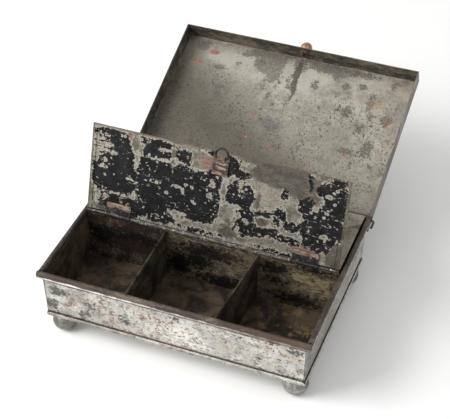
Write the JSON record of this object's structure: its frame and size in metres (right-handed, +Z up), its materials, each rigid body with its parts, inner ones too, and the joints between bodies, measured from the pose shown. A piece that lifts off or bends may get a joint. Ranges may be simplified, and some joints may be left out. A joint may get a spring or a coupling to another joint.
{
  "type": "spice box",
  "caption": "Shallow rectangular tinplate spice box on ball feet, with a hinged tray lid, a knob, inner leaves with ring pulls, and divided compartments.",
  "frame": {"origin": "on the table, in the middle of the ground that the opened box covers; the body reaches from y -142.2 to 1.8 mm", "axes": "+Z up, +X to the right seen from the front, +Y from the front to the back where the lid is hinged"},
  "size_m": [0.206, 0.2844, 0.1276],
  "materials": {
    "worn_tin": "worn grey tinplate with dark patches and rust specks",
    "brown_tin": "brown tarnished tinplate",
    "dark_tin": "dark tarnished wire and sheet",
    "japan": "black japan worn through to grey tin",
    "copper_brass": "copper-brown worn brass",
    "brown_screw": "reddish brown rusted steel"
  },
  "bodies": {
    "box": {"front_wall": "worn_tin", "back_wall": "worn_tin", "left_wall": "worn_tin", "right_wall": "worn_tin", "base_plate": "worn_tin", "front_rim_wire": "dark_tin", "left_rim_wire": "dark_tin", "right_rim_wire": "dark_tin", "lid_hinge_wire": "dark_tin", "foot_front_left": "worn_tin", "foot_front_right": "worn_tin", "foot_back_left": "worn_tin", "foot_back_right": "worn_tin", "centre_partition": "brown_tin", "leaf_hinge_wire": "dark_tin", "front_divider_left": "dark_tin", "front_divider_right": "dark_tin", "back_divider_left": "dark_tin", "back_divider_right": "dark_tin"},
    "front_leaf_body": {"front_leaf": "japan", "front_leaf_strap_left": "brown_tin", "front_leaf_strap_right": "brown_tin", "front_pull_strap": "brown_tin"},
    "front_ring_body": {"front_pull_ring": "dark_tin"},
    "back_leaf_body": {"back_leaf": "japan", "back_pull_strap": "brown_tin"},
    "back_ring_body": {"back_pull_ring": "dark_tin"},
    "lid_body": {"lid": "worn_tin", "lid_strap_left": "brown_tin", "lid_strap_right": "brown_tin"},
    "knob_body": {"lid_knob": "copper_brass", "lid_knob_screw": "brown_screw"}
  },
  "joints": [
    {"name": "outer_lid_hinge", "type": "hinge", "parent": "box", "child": "lid_body", "pos_m": [0, -0.00001, 0.0545], "axis": [1, 0, 0], "range_deg": [0, 158]},
    {"name": "front_leaf_hinge", "type": "hinge", "parent": "box", "child": "front_leaf_body", "pos_m": [0, -0.06771, 0.0598], "axis": [1, 0, 0], "range_deg": [0, 107]},
    {"name": "back_leaf_hinge", "type": "hinge", "parent": "box", "child": "back_leaf_body", "pos_m": [0, -0.06771, 0.0598], "axis": [-1, 0, 0], "range_deg": [-48, 0]},
    {"name": "front_ring_swing", "type": "hinge", "parent": "front_leaf_body", "child": "front_ring_body", "pos_m": [0.002, -0.0494, 0.11966], "axis": [-1, 0, 0], "range_deg": [0, 140]},
    {"name": "back_ring_swing", "type": "hinge", "parent": "back_leaf_body", "child": "back_ring_body", "pos_m": [0.002, -0.00751, 0.0598], "axis": [1, 0, 0], "range_deg": [-140, 0]},
    {"name": "knob_turn", "type": "hinge", "parent": "lid_body", "child": "knob_body", "pos_m": [0.003, 0.13339, 0.09672], "axis": [0, 0.9272, 0.3746], "range_deg": [-180, 180]}
  ],
  "couplings": [
    {"joint": "front_leaf_hinge", "follows": "outer_lid_hinge", "ratio": 0.67722}
  ]
}
